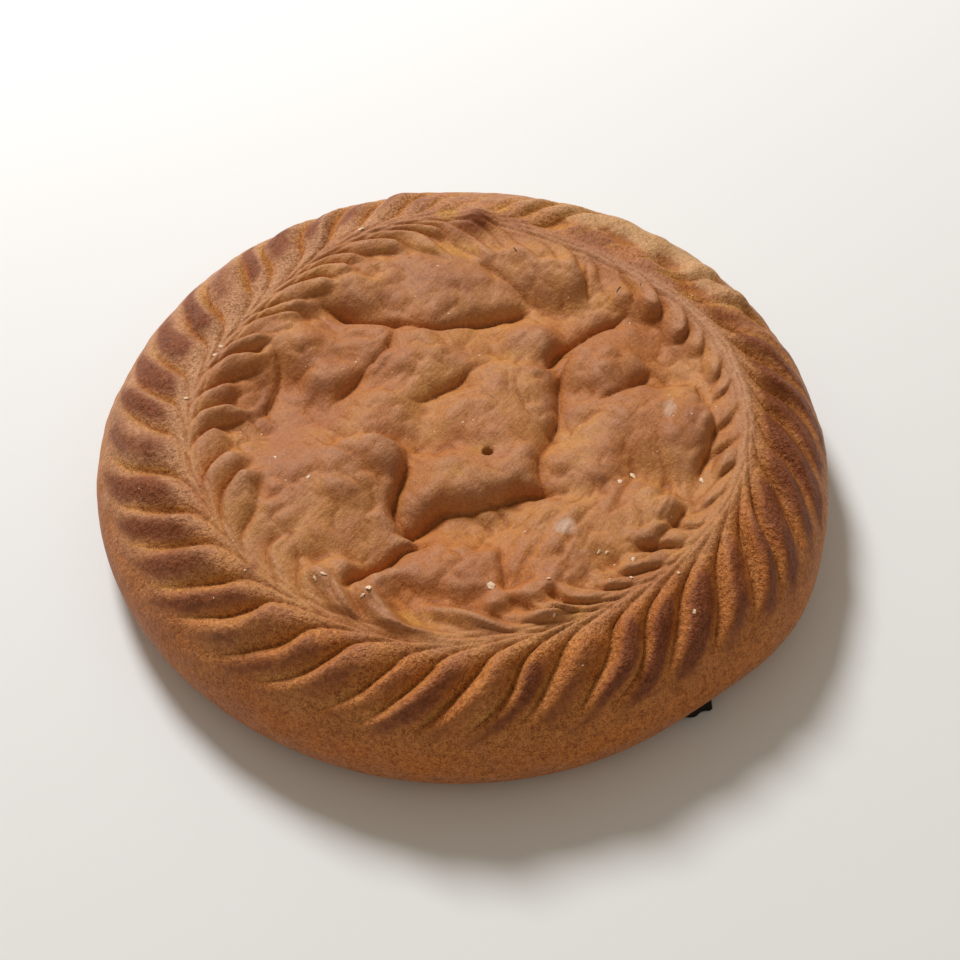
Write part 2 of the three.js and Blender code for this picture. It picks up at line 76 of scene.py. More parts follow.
# A rounded ridge along parts of the seam: its height and half width, how far it weakens the
# crimp beside it and by what share, and where it runs (angle, half width, strength).
ROPE_HEIGHT = 1.8
ROPE_WIDE = 3.2
ROPE_CALM = 4.0
ROPE_CALM_SHARE = 0.8
ROPE_PLACES = ((20, 48, 1.0), (325, 30, 0.6), (110, 25, 0.5))

# Fine strands of dough along the seam.
THREAD_PITCH = 2.6
THREAD_HEIGHT = 0.55
THREAD_REACH = 3.6
THREAD_WANDER = 2.2
THREAD_WANDER_SIZE = 14
THREAD_CIRCLE = 95

# The knob at the back, where the crimping ended.
KNOB = {"x": 6, "y": 95, "wide": 6.0, "high": 3.6}

# Pleats by number, and the angle at which a few of them cross the pleat line.
PLEATS = 45
PLEAT_MARKS = (
    (0, 5.5),
    (8, -58.2),
    (16, -118.6),
    (23, -182.0),
    (32, -257.6),
    (38, -299.0),
    (45, -354.5),
)
PLEAT_JITTER = 1.4
PLEAT_SWAY = 1.9
PLEAT_SWAY_SIZE = 17
PLEAT_LINE = 10.0
PLEAT_FADE = (13.0, 31.0)
PLEAT_CREST = 0.66
PLEAT_LEVEL = 0.55

# How pleats run along the seam before they turn outward: degrees, and within what distance.
PLEAT_RUN = 10.0
PLEAT_RUN_REACH = 2.2
PLEAT_LONG_RUNS = ((322, 22, 3.0), (55, 30, 2.0))

# How they lag behind farther out, in degrees per millimetre and per square millimetre, where
# they lag more and bend less, and where the crimp is weaker or, below zero, stronger.
PLEAT_LAG = 0.15
PLEAT_BEND = 0.009
PLEAT_LONG_LAGS = ((318, 28, 1.0),)
LONG_LAG = 0.3
LONG_BEND = -0.008
SOFT_PLEATS = ((53, 22, 0.9), (89, 12, 0.75), (160, 18, 0.1), (350, 22, -0.3))

# Lumps and hollows outside the seam, where the crimp is weak, laid out like the swells, and
# dents of the side: size across and depth.
SIDE_DENTS = (11.0, 0.9)
SIDE_LUMPS = (
    (60, 95, 10, 6, -35, 2.6),
    (75, 84, 6, 5, -45, 2.0),
    (89, 69, 8, 5, -50, 2.8),
    (99, 53, 7, 5, -60, 2.4),
    (109, 34, 8, 5, -70, 1.8),
    (42, 99, 8, 5, -15, 1.8),
    (24, 106, 9, 5, -10, 1.4),
    (52, 84, 12, 3.5, -28, 1.6),
    (70, 67, 9, 3, -42, 1.4),
    (77, 73, 6, 4, -40, -3.2),
    (86, 56, 6, 4, -40, -3.4),
    (97, 40, 6, 4, -50, -2.8),
    (36, 93, 8, 4, -5, -2.6),
    (60, 84, 6, 3.5, -30, -2.2),
    (-12, 104, 12, 6, 0, 1.2),
    (-34, 103, 8, 5, 10, -1.0),
)

# The same inside the seam, where the pleats end as tucks of unequal reach.
TUCK_SWAY = 4.5
TUCK_SWAY_SIZE = 13
TUCK_LINE = 15.0
TUCK_CREST = 0.78
TUCK_PLUMP = 0.72
TUCK_LEVEL = 0.35
TUCK_RUN = 12.0
TUCK_RUN_REACH = 3.2
TUCK_LAG = 0.8
TUCK_SHORT = ((195, 40, 0.62), (240, 20, 0.35), (20, 45, 0.5), (318, 26, 0.4))
TUCK_REACH = 17.0
TUCK_REACHES = ((318, 26, -3.5), (20, 40, -4.0), (270, 18, -3.0), (170, 45, -2.5))
SOFT_TUCKS = ((70, 20, 0.85), (264, 25, 0.85), (22, 22, -0.4), (125, 32, 0.25), (190, 30, -0.2))

# Knots of dough at the front, just inside the seam, laid out like the swells.
KNOTS = (
    (-40, -82, 11, 3.0, -59, 4.6),
    (-26, -88, 10, 3.0, -51, 5.0),
    (-13, -98, 8, 2.6, -21, 3.0),
    (-25, -73, 5.0, 4.5, 0, 4.0),
    (0, -90, 10, 2.6, -22, 4.2),
    (11, -83, 5.5, 3.4, 40, 4.6),
    (22, -80, 6, 3.4, 15, 4.4),
    (27, -90, 6, 2.6, 5, 4.0),
)

# Broad swells of the lid: middle, half lengths, turn and height.
SWELLS = (
    (-8, 64, 28, 15, 0, 7.0),
    (-40, 56, 12, 7, 0, 6.0),
    (-62, 50, 9, 7, 20, 4.5),
    (-55, 30, 15, 12, 20, 6.5),
    (-36, 36, 10, 10, 40, 5.5),
    (-47, 15, 10, 7, 30, 5.0),
    (-16, 25, 21, 18, 35, 7.5),
    (-30, -2, 14, 12, 30, 6.5),
    (16, 12, 14, 14, 0, 7.0),
    (24, 33, 10, 10, 20, 7.5),
    (6, -5, 20, 13, 0, 6.5),
    (0, -32, 20, 13, 8, 7.5),
    (20, -24, 9, 12, 0, 5.0),
    (51, 21, 14, 15, 0, 9.0),
    (62, -8, 22, 17, -15, 9.0),
    (42, -24, 13, 14, 0, 7.0),
    (34, -58, 27, 15, 30, 8.0),
    (60, -44, 12, 14, 30, 6.0),
    (-4, -69, 17, 13, 0, 7.5),
    (-50, -36, 22, 22, -10, 9.5),
    (-31, -24, 12, 10, 0, 9.0),
    (-43, -74, 7, 8, -20, 4.5),
    (-28, -79, 8, 6, 20, 4.0),
    (49, -78, 10, 7, 0, 5.5),
    (34, 64, 15, 9, -35, 6.0),
    (26, 77, 12, 6, 10, 4.5),
    (58, 50, 9, 7, -40, 3.0),
)

# How strong the lid's relief is, how steep a swell's edge is, and how sharply swells meet.
LID_RELIEF = 1.2
SWELL_EDGE = 1.4
SWELL_MEETING = 2.6

# Slow waves that bend the swells: by how much, wave length and direction in radians.
DRIFT_WAVES = ((1.4, 47, 0.4), (0.9, 29, 2.0), (0.5, 17, 3.3))

# Over what distances from the seam the lid sinks, and its relief and knots grow to full height.
LID_SINKS = (1, 30)
LID_GROWS = (3, 16)
KNOTS_GROW = (1, 5)

# Folded edges of the lid, the high side to the left of the way: from, to, bow, drop, how soon it
# is reached, how far it carries back, and the lip on the low side.
LEDGES = (
    ((-50, 49.5), (-10, 42), -2.0, 4.4, 3.4, 12, 0.9),
    ((-12, 42), (21, 49), -1.5, 4.4, 3.4, 12, 0.9),
    ((-44, 4), (-27, 37), -3.0, 3.0, 3.5, 9, 0.3),
    ((-19, 4), (9, 23), -4.0, 2.4, 3.0, 8, 0.4),
    ((28, -34), (37, 19), 2.0, 4.2, 6.0, 10, 0.5),
    ((29, 21), (57, 44), 2.5, 4.8, 4.2, 9, 0.8),
    ((48, 2), (66, 18), -3.0, 2.6, 3.0, 9, 0.5),
    ((-19, -52), (30, -38), 1.5, 4.8, 4.2, 10, 0.9),
    ((-20, -44), (-20, -18), 0.0, 6.0, 2.2, 10, 0.3),
    ((-37, -79), (-12, -57), 3.0, 6.5, 6.5, 12, 0.5),
    ((-12, -57), (-21, -42), 1.0, 4.5, 5.0, 9, 0.8),
    ((-36, -29), (-52, -13), -1.5, 1.8, 1.6, 8, 0.4),
    ((82, -30), (82, 8), -2.0, 5.0, 3.5, 9, 0.3),
    ((50, -47), (55, -33), 0.5, 1.5, 1.2, 5, 0.3),
    ((11, -80), (12, -60), 0.0, 3.0, 3.5, 9, 0.4),
    ((54, -70), (73, -48), 0.0, 4.4, 4.5, 9, 0.4),
    ((6, 72), (24, 55), 1.0, 2.0, 2.2, 7, 0.4),
    ((48, 54), (46, 76), 1.0, 3.0, 2.4, 7, 0.4),
    ((-72, 0), (-67, 27), -2.5, 2.4, 2.0, 6, 0.3),
)
LEDGE_SINK = 0.55
LEDGE_SINK_REACH = 2.2
LEDGE_LIP_REACH = 1.2
LEDGE_FRONT = 5.0
LEDGE_STEEP = 0.75

# Chance dents: size across and depth. The fine ones show only in the looks.
CRUMPLES = ((17.0, 1.6), (9.0, 1.0))
FINE_CRUMPLES = ((6.0, 0.95),)
FINE_DENTS = ((3.6, 0.34), (2.0, 0.14))

# Fine wrinkles of the skin: middle, half width, direction, pitch and height. They wander sideways
# over a size across, and each is some pitches long.
WRINKLE_WANDER = 6.0
WRINKLE_WANDER_SIZE = 11
WRINKLE_LONG = 7
WRINKLES = (
    (34, -58, 24, 58, 2.8, 0.65),
    (58, -42, 14, 78, 2.8, 0.8),
    (18, 6, 13, 96, 2.6, 0.3),
    (-38, 30, 9, 8, 2.6, 0.3),
    (-8, 54, 17, 94, 2.8, 0.15),
    (-4, -70, 13, 20, 2.6, 0.15),
    (44, 52, 13, 40, 3.0, 0.25),
)

# The hole in the lid, with its skin drawn in around it, and the burnt leak at the foot.
VENT = {"x": 8.7, "y": -21.0, "turn": 15, "wide": 1.6, "tall": 1.6, "deep": 7.0}
VENT_EDGE = (0.6, 1.35)
VENT_DRAW = 0.72
VENT_AROUND = 7.0
LEAK = ((309.6, 1.3, 6.6), (306.8, 2.2, 6.6))
LEAK_HEIGHTS = (0.4, 1.4)

# The net: steps of distance from the seam, each up to its limit, and the spacing around.
LID_STEPS = ((5.0, 0.42), (20.0, 0.64), (95.0, 0.82))
SIDE_STEPS = ((5.0, 0.42), (30.0, 0.76), (46.0, 1.25))
SPACING = 0.84
SIDE_COLUMNS = 700
FOOT_ROWS = 9
FOOT_LONG = 21.0

# Rings of the underside: corners around, and share of the foot's radius.
UNDERSIDE_RINGS = ((236, 0.8), (59, 0.45), (12, 0.15))


# ---------------------------------------------------------------- shape functions


def smooth(value, start, end):
    share = np.clip((value - start) / (end - start), 0, 1)
    return share * share * (3 - 2 * share)


def bell(distance, half_width):
    return np.exp(-((distance / half_width) ** 2))


def turn_between(angle, other):
    return (angle - other + 180) % 360 - 180


def swells(angle, places):
    return sum(by * bell(turn_between(angle, at), wide) for at, wide, by in places)


def chance(number, kind):
    wave = np.sin(number * 12.9898 + kind * 78.233) * 43758.5453
    return wave - np.floor(wave)


def dents(across, up, kind):
    """Smooth chance heights between -0.5 and 0.5, on a grid of unit squares."""
    column, row = np.floor(across), np.floor(up)
    u, v = across - column, up - row
    u, v = u**3 * (u * (6 * u - 15) + 10), v**3 * (v * (6 * v - 15) + 10)

    def corner(right, above):
        return chance(column + right + 57 * (row + above), kind)

    low = corner(0, 0) * (1 - u) + corner(1, 0) * u
    high = corner(0, 1) * (1 - u) + corner(1, 1) * u
    return low * (1 - v) + high * v - 0.5


def turned(x, y, turn):
    cos, sin = math.cos(math.radians(turn)), math.sin(math.radians(turn))
    return x * cos + y * sin, y * cos - x * sin


def polar(angle, radius):
    return radius * np.cos(np.radians(angle)), radius * np.sin(np.radians(angle))


class Pie:
    """The pie's form, from its driving sizes: heights and reliefs by angle and distance."""

    def __init__(self, sizes):
        self.outline = sizes.outline_radius / MM
        self.seam = sizes.seam_radius / MM
        self.seam_height = sizes.seam_height / MM
        self.lid_drop = sizes.lid_drop / MM
        self.pleat_height = sizes.pleat_height / MM
        self.tuck_height = sizes.tuck_height / MM
        numbers = np.arange(PLEATS + 1)
        marks = np.array(PLEAT_MARKS, float)
        base = np.interp(numbers, marks[:, 0], marks[:, 1])
        self.creases = base + PLEAT_JITTER * (2 * chance(numbers % PLEATS, 1) - 1)

    def outline_radius(self, angle):
        return self.outline + swells(angle, OUTLINE_SWELLS)

    def seam_radius(self, angle):
        waves = (
            by * np.cos(np.radians(waves * angle - turn))
            for waves, by, turn in SEAM_WANDER
        )
        return self.seam + sum(waves)

    def pleat_place(self, angle):
        """The pleat's number and the share of the way across it, clockwise."""
        first = self.creases[0]
        past = (first - angle) % 360
        place = np.interp(past, first - self.creases, np.arange(PLEATS + 1))
        return np.floor(place) % PLEATS, place - np.floor(place)

    @staticmethod
    def lump(share, crest, power):
        half = np.where(
            share < crest, 0.5 * share / crest, 0.5 + 0.5 * (share - crest) / (1 - crest)
        )
        return np.sin(np.pi * np.clip(half, 0, 1)) ** power

    @staticmethod
    def pleat_swing(angle, away):
        run = PLEAT_RUN + swells(angle, PLEAT_LONG_RUNS)
        reach = PLEAT_RUN_REACH + 0.12 * (run - PLEAT_RUN)
        long = swells(angle, PLEAT_LONG_LAGS)
        lag, bend = PLEAT_LAG + LONG_LAG * long, PLEAT_BEND + LONG_BEND * long

        def total(distance):
            start = run * (1 - np.exp(-distance / reach))
            return start + lag * distance + bend * distance**2

        return total(away) - total(PLEAT_LINE)

    @staticmethod
    def tuck_swing(angle, inside):
        share = 1 - swells(angle, TUCK_SHORT)

        def total(distance):
            return TUCK_RUN * (1 - np.exp(-distance / TUCK_RUN_REACH)) + TUCK_LAG * distance

        return share * (total(inside) - total(TUCK_LINE))

    def pleat_at(self, angle, away):
        """The number of the pleat at a place outside the seam, and the share across it."""
        x, y = polar(angle, self.seam_radius(angle) + away)
        size = PLEAT_SWAY_SIZE
        sway = PLEAT_SWAY * dents(x / size, y / size, 3) * smooth(away, 2, 9)
        return self.pleat_place(angle + self.pleat_swing(angle, away) + sway)

    def pleat_relief(self, angle, away):
        pleat, share = self.pleat_at(angle, away)
        strength = (1 - swells(angle, SOFT_PLEATS)) * self.calm(angle, away)
        rise = 0.22 + 0.78 * smooth(away, 0.5, 10)
        power = 0.65 + 0.25 * smooth(away, 2, 9)
        crest = PLEAT_CREST + 0.2 * (chance(pleat, 9) - 0.5)
        plump = self.lump(share, crest, power) * (0.62 + 0.7 * chance(pleat, 2))
        start, end = PLEAT_FADE
        fade = 1 - smooth(away, start + 10 * chance(pleat, 3) - 5, end)
        level = PLEAT_LEVEL * (1 - smooth(away, start, end))
        return self.pleat_height * strength * rise * (plump * fade - level)

    def tuck_relief(self, angle, inside):
        x, y = polar(angle, self.seam_radius(angle) - inside)
        size = TUCK_SWAY_SIZE
        angle = angle + TUCK_SWAY * dents(x / size, y / size, 4) * smooth(inside, 0, 8)
        tuck, share = self.pleat_place(angle + self.tuck_swing(angle, inside))
        strength = (1 - swells(angle, SOFT_TUCKS)) * self.calm(angle, inside)
        rise = 0.2 + 0.8 * smooth(inside, 0, 7)
        tip = (0.6 + 0.7 * chance(tuck, 4)) * (0.72 + 0.36 * np.sin(np.pi * share) ** 0.7)
        reach = (TUCK_REACH + swells(angle, TUCK_REACHES)) * tip
        end = 1 - smooth(inside / reach, 0.7, 1.08)
        plump = self.lump(share, TUCK_CREST, TUCK_PLUMP) * end * (0.5 + chance(tuck, 5))
        level = TUCK_LEVEL * (1 - smooth(inside, 12, 24))
        return self.tuck_height * strength * rise * (plump - level)

    @staticmethod
    def threads(angle, away):
        """Fine strands that run along the seam."""
        x, y = polar(angle, THREAD_CIRCLE + away)
        size = THREAD_WANDER_SIZE
        wander = away + THREAD_WANDER * dents(x / size, y / size, 11)
        strands = np.abs(np.sin(np.pi * wander / THREAD_PITCH)) ** 0.7 - 0.6
        return THREAD_HEIGHT * strands * bell(away + 1.5, THREAD_REACH)

    @staticmethod
    def calm(angle, away):
        """The share of the crimp that is left beside the ridge along the seam."""
        ridge = np.clip(swells(angle, ROPE_PLACES), 0, 1)
        return 1 - ROPE_CALM_SHARE * ridge * bell(away, ROPE_CALM)

    @staticmethod
    def rope(angle, away):
        return ROPE_HEIGHT * swells(angle, ROPE_PLACES) * bell(away, ROPE_WIDE)

    @staticmethod
    def knob(x, y):
        return KNOB["high"] * bell(np.hypot(x - KNOB["x"], y - KNOB["y"]), KNOB["wide"])

    @staticmethod
    def swell(x, y, middle_x, middle_y, rx, ry, turn, high):
        along, across = turned(x - middle_x, y - middle_y, turn)
        far = (along / rx) ** 2 + (across / ry) ** 2
        return high * np.exp(-0.7 * far**SWELL_EDGE)

    @staticmethod
    def ledge(x, y, start, end, bow, drop, steep, back, lip):
        length = math.dist(start, end)
        turn = math.degrees(math.atan2(end[1] - start[1], end[0] - start[0]))
        along, side = turned(x - start[0], y - start[1], turn)
        share = along / length
        side = side - 4 * bow * share * (1 - share)
        inside = smooth(share, -0.15, 0.15) * (1 - smooth(share, 0.85, 1.15))
        up, down = np.maximum(side, 0), np.maximum(-side, 0)
        high = drop * (1 - np.exp(-up / (LEDGE_STEEP * steep))) * np.exp(-up / back)
        low = lip * (1 - np.exp(-down / LEDGE_LIP_REACH)) * np.exp(-down / LEDGE_FRONT)
        sink = LEDGE_SINK * drop * np.exp(-np.abs(side) / LEDGE_SINK_REACH)
        return inside * (high + low - sink)

    @staticmethod
    def drift(x, y, kind):
        """Slow waves that keep the swells from being neat ovals."""

        def wave(length, turn):
            along = x * math.cos(turn) + y * math.sin(turn)
            return np.sin(along * 2 * math.pi / length + 2.1 * kind + turn)

        return sum(by * wave(length, turn + kind) for by, length, turn in DRIFT_WAVES)

    @staticmethod
    def crumple(x, y, sizes):
        """Plump chance bumps that meet in creases."""
        total = 0
        for size, by in sizes:
            across, up = turned(x, y, 7 * size)
            total = total + by * (np.hypot(2 * dents(across / size, up / size, size), 0.08) - 0.3)
        return total

    @staticmethod
    def grain(x, y, sizes):
        """Soft chance dents of several sizes."""
        return sum(by * dents(x / size, y / size, size) for size, by in sizes)

    @staticmethod
    def wrinkle(x, y, middle_x, middle_y, around, turn, pitch, high):
        along, across = turned(x - middle_x, y - middle_y, turn)
        size = WRINKLE_WANDER_SIZE
        across = across + WRINKLE_WANDER * dents(x / size, y / size, 7)
        near = bell(np.hypot(x - middle_x, y - middle_y), around)
        ridges = np.abs(dents(along / (WRINKLE_LONG * pitch), across / pitch, turn))
        return high * near * (1 - 4 * ridges)

    def lid_relief(self, x, y):
        px, py = x + self.drift(x, y, 0), y + self.drift(x, y, 1)
        powers = sum(self.swell(px, py, *one) ** SWELL_MEETING for one in SWELLS)
        folded = sum(self.ledge(px, py, *one) for one in LEDGES)
        return LID_RELIEF * (powers ** (1 / SWELL_MEETING) + folded) + self.crumple(x, y, CRUMPLES)

    def skin_relief(self, x, y):
        wrinkled = sum(self.wrinkle(x, y, *one) for one in WRINKLES)
        return wrinkled + self.crumple(x, y, FINE_CRUMPLES) + self.grain(x, y, FINE_DENTS)

    @staticmethod
    def vent_share(x, y):
        """How much of the hole's depth is reached at a place."""
        across, tall = turned(x - VENT["x"], y - VENT["y"], VENT["turn"])
        far = np.hypot(across / VENT["wide"], tall / VENT["tall"])
        return 1 - smooth(far, *VENT_EDGE)

    @staticmethod
    def drawn(x, y):
        """Places drawn in towards the vent, so that the net is fine around it."""
        dx, dy = x - VENT["x"], y - VENT["y"]
        share = 1 - VENT_DRAW * bell(np.hypot(dx, dy), VENT_AROUND)
        return VENT["x"] + dx * share, VENT["y"] + dy * share

    def top_corner(self, angle, inside):
        """A place on the lid, at a distance inside the seam."""
        x, y = self.drawn(*polar(angle, self.seam_radius(angle) - inside))
        floor = self.seam_height - self.lid_drop * smooth(inside, *LID_SINKS)
        floor = floor + self.rope(angle, inside) + self.knob(x, y)
        lid = (self.lid_relief(x, y) + self.skin_relief(x, y)) * smooth(inside, *LID_GROWS)
        lid = lid + sum(self.swell(x, y, *one) for one in KNOTS) * smooth(inside, *KNOTS_GROW)
        lid = lid + self.threads(angle, -inside)
        lid = lid - VENT["deep"] * self.vent_share(x, y)
        return np.stack([x, y, floor + lid + self.tuck_relief(angle, inside)], -1)

    def side_corner(self, angle, share):
        """A place on the quarter round between the seam (share 0) and the widest level (1)."""
        seam = self.seam_radius(angle)
        across = self.outline_radius(angle) - seam
        high = self.seam_height - WIDEST_HEIGHT
        away = share * math.pi / 4 * (across + high)
        sin, cos = np.sin(share * math.pi / 2), np.cos(share * math.pi / 2)
        slope = np.hypot(high * sin, across * cos)
        relief = self.pleat_relief(angle, away) + self.rope(angle, away)
        relief = relief + self.threads(angle, away)
        relief = relief + self.knob(*polar(angle, seam)) * bell(away, KNOB["wide"])
        x, y = polar(angle, seam + away)
        skin = self.grain(x, y, (SIDE_DENTS, *FINE_DENTS)) * smooth(away, 2, 8)
        skin = skin + sum(self.swell(x, y, *one) for one in SIDE_LUMPS)
        relief = relief + skin * (1 - smooth(share, 0.75, 1.0))
        radius = seam + across * sin + relief * high * sin / slope
        z = WIDEST_HEIGHT + high * cos + relief * across * cos / slope
        return np.stack([*polar(angle, radius), z], -1)

    def foot_corner(self, angle, share):
        """A place on the round between the widest level (share 0) and the foot's edge (1)."""
        turn = share * math.pi / 2
        z = WIDEST_HEIGHT * (1 - np.sin(turn))
        low, high = LEAK_HEIGHTS
        within = smooth(z, low - 0.8, low + 0.8) * (1 - smooth(z, high - 1, high + 2))
        leak = swells(angle, LEAK) * within
        radius = self.outline_radius(angle) - FOOT_INSET * (1 - np.cos(turn)) + leak
        x, y = polar(angle, radius)
        return np.stack([x, y, np.broadcast_to(z, np.shape(x))], -1)


# ---------------------------------------------------------------- the pie's net


def stitch(inner, outer):
    """Triangles between two rings given as (first corner, count), the inner one first."""
    start_a, count_a = inner
    start_b, count_b = outer
    a = b = 0
    triangles = []
    while a < count_a or b < count_b:
        now_a, now_b = start_a + a % count_a, start_b + b % count_b
        if (a + 1) / count_a <= (b + 1) / count_b and a < count_a:
            triangles.append((now_a, now_b, start_a + (a + 1) % count_a))
            a += 1
        else:
            triangles.append((now_a, now_b, start_b + (b + 1) % count_b))
            b += 1
    return triangles


def distances(steps):
    """Distances from 0, growing by the step of each zone up to its limit."""
    places, now = [0.0], 0.0
    for limit, step in steps:
        count = max(1, round((limit - now) / step))
        places += [now + (limit - now) * (k + 1) / count for k in range(count)]
        now = limit
    return places


def pie_net(pie):
    """Corners in millimetres, triangles, each corner's angle and distance from the seam, and its
    place before the pie was moved to the middle of its box."""
    corners, triangles, spans, facts = [], [], [], []

    def add_ring(points, angle, away):
        spans.append((sum(len(p) for p in corners), len(points)))
        corners.append(points)
        facts.append(np.stack([angle, np.broadcast_to(away, angle.shape)], -1))

    centre, lid_long, side_long = np.zeros(1), LID_STEPS[-1][0], SIDE_STEPS[-1][0]
    add_ring(pie.top_corner(centre, pie.seam_radius(centre)), centre, -lid_long)
    for inside in reversed(distances(LID_STEPS)[1:-1]):
        share = inside / lid_long
        count = max(6, round(2 * math.pi * pie.seam * (1 - share) / SPACING))
        angle = np.arange(count) * 360 / count
        inside = pie.seam_radius(angle) * share
        add_ring(pie.top_corner(angle, inside), angle, -inside)
    around = np.arange(SIDE_COLUMNS) * 360 / SIDE_COLUMNS
    for away in distances(SIDE_STEPS):
        add_ring(pie.side_corner(around, away / side_long), around, away)
    for row in range(1, FOOT_ROWS + 1):
        share = row / FOOT_ROWS
        add_ring(pie.foot_corner(around, share), around, side_long + FOOT_LONG * share)
    for count, share in UNDERSIDE_RINGS:
        angle = np.arange(count) * 360 / count
        add_ring(pie.foot_corner(angle, 1.0) * share, angle, side_long + FOOT_LONG)
    add_ring(np.zeros((1, 3)), centre, side_long + FOOT_LONG)
    for inner, outer in zip(spans, spans[1:]):
        triangles += stitch(inner, outer)
    corners = np.concatenate(corners)
    places = corners[:, :2].copy()
    corners[:, :2] -= (places.min(0) + places.max(0)) / 2
    return corners, np.array(triangles), np.concatenate(facts), places


def relaxed(values, edges, rounds):
    """Values at the corners after some rounds of averaging with their neighbours."""
    count = len(values)
    degree = np.bincount(edges.ravel(), minlength=count)
    values = values.copy()
    for _ in range(rounds):
        for column in range(values.shape[1]):
            one = values[:, column]
            total = np.bincount(edges[:, 0], one[edges[:, 1]], count)
            total += np.bincount(edges[:, 1], one[edges[:, 0]], count)
            values[:, column] = 0.5 * one + 0.5 * total / degree
    return values


def mesh_of(name, corners, faces):
    mesh = bpy.data.meshes.new(name)
    mesh.from_pydata((np.asarray(corners) * MM).tolist(), [], [tuple(f) for f in faces])
    mesh.update()
    mesh.polygons.foreach_set("use_smooth", [True] * len(mesh.polygons))
    return mesh


def add_values(mesh, name, values):
    attribute = mesh.attributes.new(name, "FLOAT", "POINT")
    attribute.data.foreach_set("value", np.asarray(values, np.float32))


def piece_of(name, mesh, material):
    piece = bpy.data.objects.new(name, mesh)
    bpy.context.scene.collection.objects.link(piece)
    mesh.materials.append(material)
    return piece


# ---------------------------------------------------------------- browning, painted shade and painted sheen, by place

# Around the pie: where, half width in degrees, and how strong.
# Where the pleats' flanks are darkened brown, and how strongly: most at the right and at the back
# left.
DARKER_FLANKS = ((315, 45, 0.85), (235, 40, 0.05), (354, 32, 1.45), (155, 50, 0.6))
TOASTED_BANDS = ((0, 32, 0.3), (178, 32, 0.3))
LIGHTLY_BAKED = ((55, 30, 1.0),)
PALE_BACK = ((50, 30, 1.05), (88, 10, 0.3))
ROSY_SEAM = ((35, 40, 0.9), (100, 20, 0.6))
# Painted sheen: a pale pink laid on the side at the back left, which faces the lamp, over the lid's
# crests and along the seam.
PAINTED_SHEEN_SIDE = ((145, 50, 1.0), (200, 30, 0.4))
PAINTED_SHEEN_LID = 0.3
PAINTED_SHEEN_SEAM = ((20, 45, 0.7), (165, 30, 0.3))
# Painted shade: towards the front, which faces away from the lamp, the seam's outer edge and the
# side turn a deeper orange brown. Away from the front the side keeps a least share of this orange as
# its own bake.
FRONT_SHADE = ((296, 75, 1.0),)
SIDE_SHADE = ((285, 80, 1.0),)
AMBER_SIDE_LEAST = 0.3
PALE_SIDE = ((60, 35, 1.0),)

# Rounds of smoothing that the narrow and the wide hollows are measured against.
NEAR_ROUNDS = 5
WIDE_ROUNDS = 45

# Spots on the pie's top: middle, half lengths, turn and strength.
OCHRE_SPOTS = (
    (8, -19, 7, 4, 20, 0.8),
    (-9, -11, 12, 6, 40, 0.55),
    (-5, 79, 14, 5, 0, 0.9),
    (-6, 97, 5, 4, 0, 1.2),
    (16, 101, 7, 3, 0, 0.7),
    (52, 52, 6, 6, 0, 0.7),
    (62, 57, 5, 7, 30, 0.5),
    (15, 25, 5, 3, -10, 0.9),
    (18, 43, 6, 3, 0, 0.5),
    (-14, -90, 9, 4, -10, 1.0),
    (36, -90, 3, 5, 0, 0.7),
    (83, 2, 3, 9, 10, 0.6),
    (78, 70, 5, 7, -30, 0.9),
    (84, 53, 6, 4, -20, 0.9),
    (95, 38, 6, 4, -30, 0.7),
    (38, 93, 8, 4, 0, 0.8),
    (-103, 2, 4, 3, 0, 0.4),
    (-10, 10, 14, 8, 40, 0.6),
    (-2, -32, 16, 9, 0, 0.6),
)
# The first dark spot, a narrow strip at the lid's left edge, is a painted shadow along the edge of
# the tucks.
DARK_SPOTS = (
    (-70, 12, 3, 13, 4, 0.8),
    (78, -14, 5, 17, 4, 0.55),
    (62, -62, 12, 6, 45, 0.4),
    (6, 92, 8, 6, 0, 1.1),
    (51, 83, 14, 6, -12, 0.6),
    (68, 66, 9, 4, -25, 0.5),
    (92, 44, 9, 4, -35, 0.5),
    (28, 18, 12, 5, 10, 0.35),
    (22, 8, 9, 12, 0, 0.3),
    (-67, -73, 5, 4, 0, 0.7),
    (-12, 62, 26, 13, 0, 0.4),
    (-50, 28, 15, 12, 0, 0.4),
)
# The last rosy spot, and the spot after it, darken the lid's front, which faces away from the lamp:
# painted shade.
ROSY_SPOTS = ((-8, 62, 26, 13, 0, 0.6), (-62, -22, 16, 22, 0, 0.6), (6, -70, 30, 16, 0, 0.3))
LID_FRONT_SHADE = ((6, -70, 30, 16, 0, 0.6),)
FLOUR_SPOTS = (
    (71, -6, 2.6, 5.5, -12, 0.75),
    (33, -56, 4.2, 3.4, 30, 0.9),
    (39, -66, 3, 1.5, 0, 0.45),
)


def spots(x, y, places, edge=1.0):
    total = 0
    for middle_x, middle_y, rx, ry, turn, by in places:
        along, across = turned(x - middle_x, y - middle_y, turn)
        total = total + by * np.exp(-(((along / rx) ** 2 + (across / ry) ** 2) ** edge))
    return total


